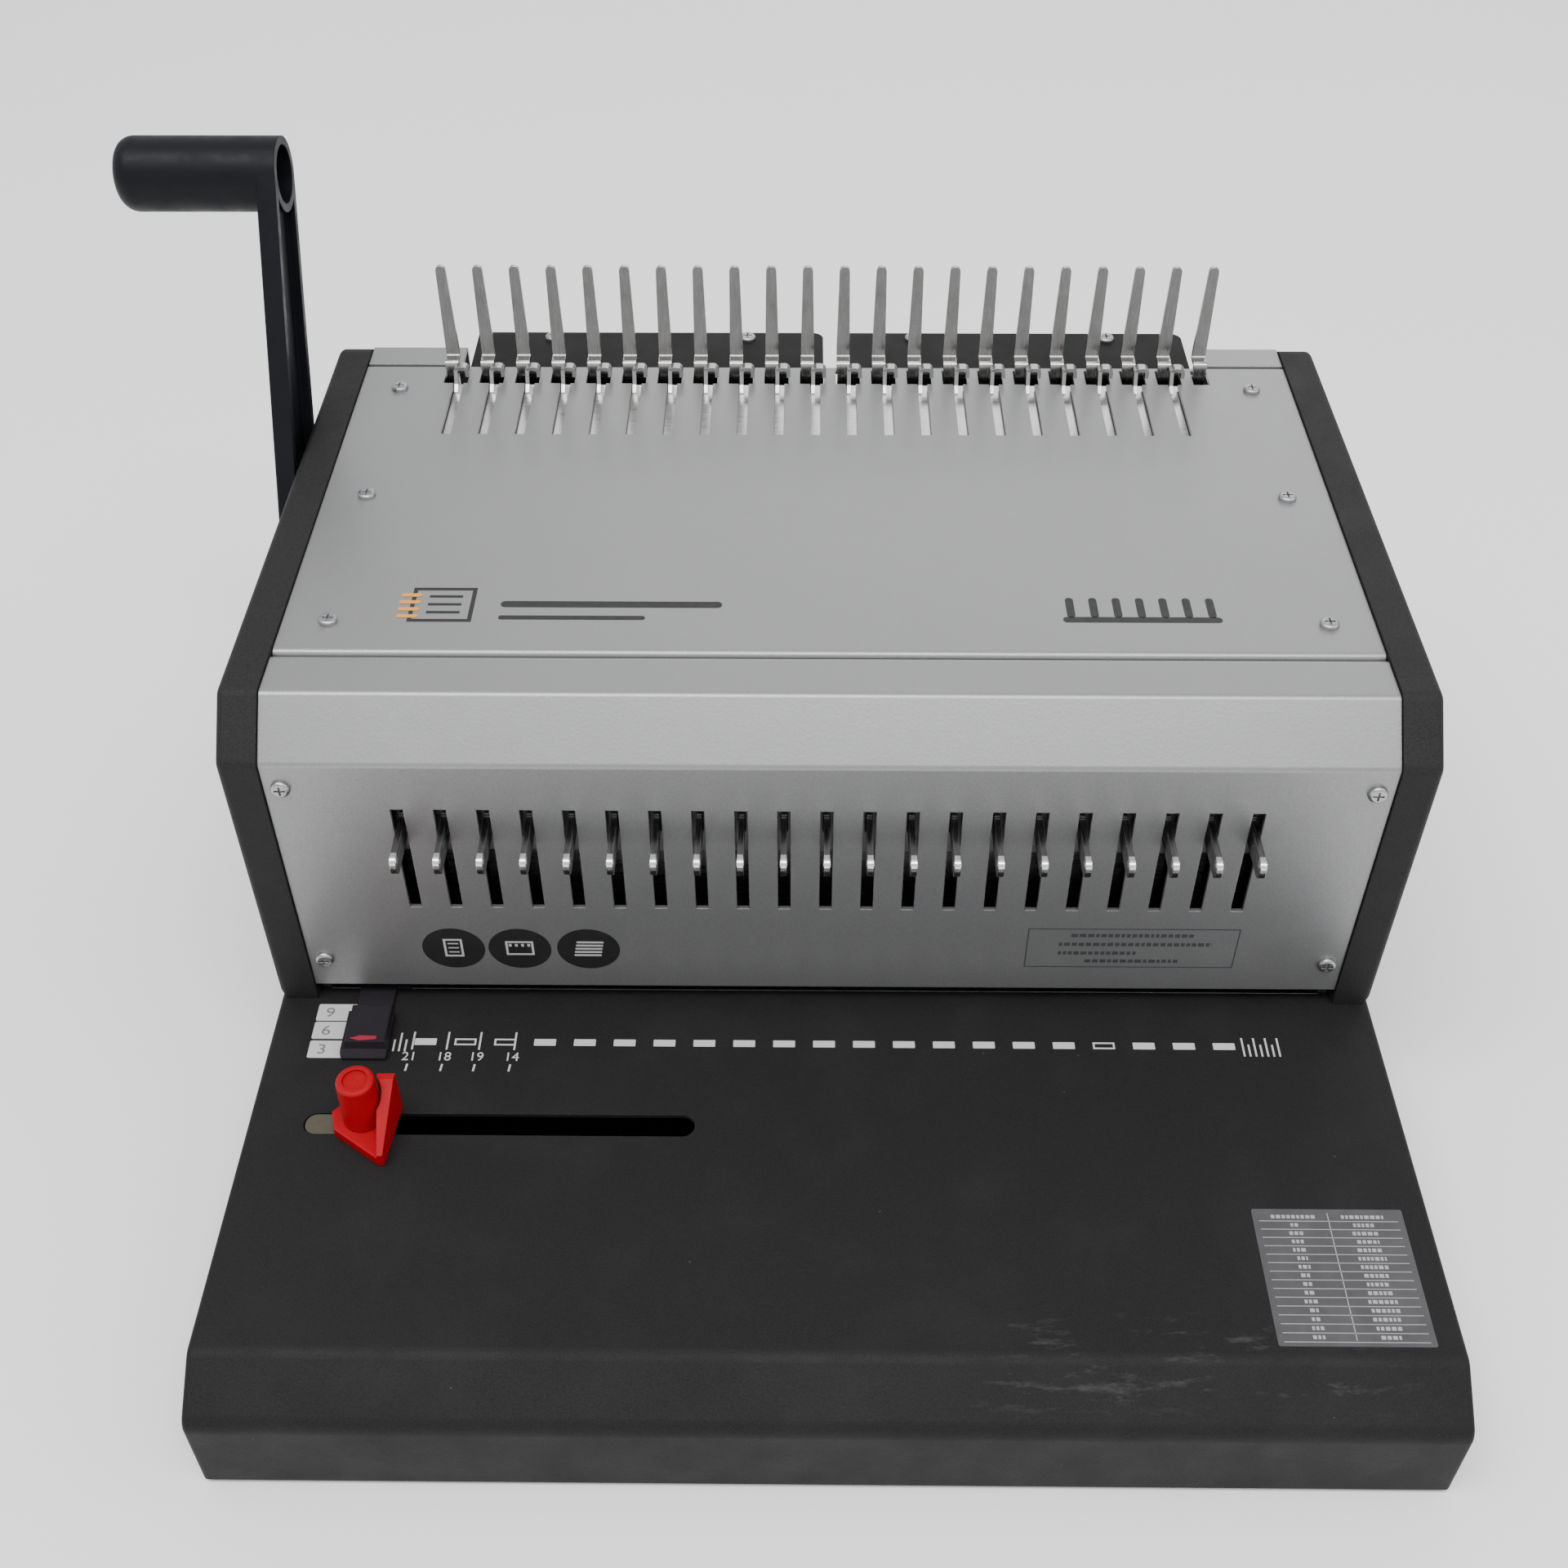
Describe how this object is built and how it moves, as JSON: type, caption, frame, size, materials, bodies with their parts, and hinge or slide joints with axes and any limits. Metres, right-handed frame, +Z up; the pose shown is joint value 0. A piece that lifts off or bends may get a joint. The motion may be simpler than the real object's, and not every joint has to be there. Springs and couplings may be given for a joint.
{
  "type": "comb binding machine",
  "caption": "Manual desktop comb binder: a side lever punches slots in paper at a front throat and opens plastic combs on steel fingers at the rear top.",
  "frame": {"origin": "on the surface it stands on, under the middle foot, in the middle plane of the casing", "axes": "+X to the right of a user who faces the paper table, +Y away from the user, +Z up"},
  "size_m": [0.461, 0.4175, 0.2795],
  "materials": {
    "table_black": "fine satin powder coat",
    "cap_black": "satin powder coat",
    "silver": "semi-gloss metallic enamel",
    "polished_steel": "polished",
    "zinc_steel": "zinc plated",
    "tool_steel": "ground",
    "black_plate": "satin black",
    "lever_black": "fine moulded texture",
    "knob_black": "moulded",
    "guide_red": "gloss moulded",
    "nylon": "natural nylon",
    "bronze": "sintered bronze",
    "spring_steel": "drawn wire",
    "foot_rubber": "matt",
    "drawer_black": "moulded",
    "print_white": "screen-printed ink",
    "print_dark": "screen-printed ink"
  },
  "bodies": {
    "chassis": {"base_platform": "table_black", "bottom_plate": "zinc_steel", "rubber_feet": "foot_rubber", "side_cap_left": "cap_black", "side_cap_right": "cap_black", "front_cover": "silver", "top_cover": "silver", "rear_cover": "silver", "frame_plate_left": "zinc_steel", "frame_plate_right": "zinc_steel", "lower_die": "tool_steel", "pin_guide_block": "tool_steel", "guide_posts": "polished_steel", "shaft_bushes": "bronze", "carriage_rails": "nylon", "finger_bar": "zinc_steel", "comb_fingers": "polished_steel", "comb_shelf_left": "black_plate", "comb_shelf_right": "black_plate", "cover_screws": "zinc_steel"},
    "lever": {"handle_lever": "lever_black", "drive_shaft": "tool_steel", "punch_pinions": "tool_steel", "hook_pinions": "tool_steel", "hub_screw": "zinc_steel"},
    "punch": {"punch_carriage": "zinc_steel", "punch_pins": "tool_steel", "punch_racks": "zinc_steel", "return_springs": "spring_steel"},
    "hooks": {"hook_carriage": "zinc_steel", "comb_hooks": "polished_steel", "hook_racks": "zinc_steel"},
    "margin_knob": {"margin_knob": "knob_black"},
    "back_stop": {"back_stop": "zinc_steel"},
    "margin_lever": {"margin_lever": "zinc_steel"},
    "edge_guide": {"edge_guide": "guide_red", "guide_slide": "nylon"},
    "guide_knob": {"guide_knob": "guide_red"},
    "chip_drawer": {"chip_drawer": "drawer_black"},
    "tab_01": {"pull_tab_01": "polished_steel"},
    "tab_02": {"pull_tab_02": "polished_steel"},
    "tab_03": {"pull_tab_03": "polished_steel"},
    "tab_04": {"pull_tab_04": "polished_steel"},
    "tab_05": {"pull_tab_05": "polished_steel"},
    "tab_06": {"pull_tab_06": "polished_steel"},
    "tab_07": {"pull_tab_07": "polished_steel"},
    "tab_08": {"pull_tab_08": "polished_steel"},
    "tab_09": {"pull_tab_09": "polished_steel"},
    "tab_10": {"pull_tab_10": "polished_steel"},
    "tab_11": {"pull_tab_11": "polished_steel"},
    "tab_12": {"pull_tab_12": "polished_steel"},
    "tab_13": {"pull_tab_13": "polished_steel"},
    "tab_14": {"pull_tab_14": "polished_steel"},
    "tab_15": {"pull_tab_15": "polished_steel"},
    "tab_16": {"pull_tab_16": "polished_steel"},
    "tab_17": {"pull_tab_17": "polished_steel"},
    "tab_18": {"pull_tab_18": "polished_steel"},
    "tab_19": {"pull_tab_19": "polished_steel"},
    "tab_20": {"pull_tab_20": "polished_steel"},
    "tab_21": {"pull_tab_21": "polished_steel"}
  },
  "joints": [
    {"name": "handle_pull", "type": "hinge", "parent": "chassis", "child": "lever", "pos_m": [-0.205, 0.1, 0.11], "axis": [1, 0, 0], "range_deg": [0, 85]},
    {"name": "punch_stroke", "type": "slide", "parent": "chassis", "child": "punch", "axis": [0, 0, -1], "range_m": [0, 0.01785], "stiffness_N_per_m": 1600, "springref_m": -0.02, "deforming": ["return_springs"]},
    {"name": "hook_slide", "type": "slide", "parent": "chassis", "child": "hooks", "axis": [0, -1, 0], "range_m": [0, 0.03417]},
    {"name": "margin_select", "type": "slide", "parent": "chassis", "child": "margin_knob", "axis": [0, 1, 0], "range_m": [0, 0.0164]},
    {"name": "stop_slide", "type": "slide", "parent": "chassis", "child": "back_stop", "axis": [0, 1, 0], "range_m": [0, 0.0062]},
    {"name": "margin_link", "type": "hinge", "parent": "chassis", "child": "margin_lever", "pos_m": [-0.176, -0.0081, 0.052], "axis": [0, 0, 1], "range_deg": [0, 44.64]},
    {"name": "edge_guide_slide", "type": "slide", "parent": "chassis", "child": "edge_guide", "axis": [1, 0, 0], "range_m": [0, 0.107]},
    {"name": "guide_clamp", "type": "hinge", "parent": "edge_guide", "child": "guide_knob", "pos_m": [-0.158, -0.09205, 0.06], "axis": [0, 0, 1], "range_deg": [0, 90]},
    {"name": "drawer_pull", "type": "slide", "parent": "chassis", "child": "chip_drawer", "axis": [0, 1, 0], "range_m": [0, 0.2]},
    {"name": "tab_01_pull", "type": "slide", "parent": "punch", "child": "tab_01", "axis": [0, -1, 0], "range_m": [0, 0.009]},
    {"name": "tab_02_pull", "type": "slide", "parent": "punch", "child": "tab_02", "axis": [0, -1, 0], "range_m": [0, 0.009]},
    {"name": "tab_03_pull", "type": "slide", "parent": "punch", "child": "tab_03", "axis": [0, -1, 0], "range_m": [0, 0.009]},
    {"name": "tab_04_pull", "type": "slide", "parent": "punch", "child": "tab_04", "axis": [0, -1, 0], "range_m": [0, 0.009]},
    {"name": "tab_05_pull", "type": "slide", "parent": "punch", "child": "tab_05", "axis": [0, -1, 0], "range_m": [0, 0.009]},
    {"name": "tab_06_pull", "type": "slide", "parent": "punch", "child": "tab_06", "axis": [0, -1, 0], "range_m": [0, 0.009]},
    {"name": "tab_07_pull", "type": "slide", "parent": "punch", "child": "tab_07", "axis": [0, -1, 0], "range_m": [0, 0.009]},
    {"name": "tab_08_pull", "type": "slide", "parent": "punch", "child": "tab_08", "axis": [0, -1, 0], "range_m": [0, 0.009]},
    {"name": "tab_09_pull", "type": "slide", "parent": "punch", "child": "tab_09", "axis": [0, -1, 0], "range_m": [0, 0.009]},
    {"name": "tab_10_pull", "type": "slide", "parent": "punch", "child": "tab_10", "axis": [0, -1, 0], "range_m": [0, 0.009]},
    {"name": "tab_11_pull", "type": "slide", "parent": "punch", "child": "tab_11", "axis": [0, -1, 0], "range_m": [0, 0.009]},
    {"name": "tab_12_pull", "type": "slide", "parent": "punch", "child": "tab_12", "axis": [0, -1, 0], "range_m": [0, 0.009]},
    {"name": "tab_13_pull", "type": "slide", "parent": "punch", "child": "tab_13", "axis": [0, -1, 0], "range_m": [0, 0.009]},
    {"name": "tab_14_pull", "type": "slide", "parent": "punch", "child": "tab_14", "axis": [0, -1, 0], "range_m": [0, 0.009]},
    {"name": "tab_15_pull", "type": "slide", "parent": "punch", "child": "tab_15", "axis": [0, -1, 0], "range_m": [0, 0.009]},
    {"name": "tab_16_pull", "type": "slide", "parent": "punch", "child": "tab_16", "axis": [0, -1, 0], "range_m": [0, 0.009]},
    {"name": "tab_17_pull", "type": "slide", "parent": "punch", "child": "tab_17", "axis": [0, -1, 0], "range_m": [0, 0.009]},
    {"name": "tab_18_pull", "type": "slide", "parent": "punch", "child": "tab_18", "axis": [0, -1, 0], "range_m": [0, 0.009]},
    {"name": "tab_19_pull", "type": "slide", "parent": "punch", "child": "tab_19", "axis": [0, -1, 0], "range_m": [0, 0.009]},
    {"name": "tab_20_pull", "type": "slide", "parent": "punch", "child": "tab_20", "axis": [0, -1, 0], "range_m": [0, 0.009]},
    {"name": "tab_21_pull", "type": "slide", "parent": "punch", "child": "tab_21", "axis": [0, -1, 0], "range_m": [0, 0.009]}
  ],
  "couplings": [
    {"joint": "punch_stroke", "follows": "handle_pull", "m_per_rad": 0.012},
    {"joint": "hook_slide", "follows": "handle_pull", "m_per_rad": 0.023},
    {"joint": "stop_slide", "follows": "margin_select", "ratio": 0.375},
    {"joint": "margin_link", "follows": "margin_select", "rad_per_m": 47.451}
  ]
}
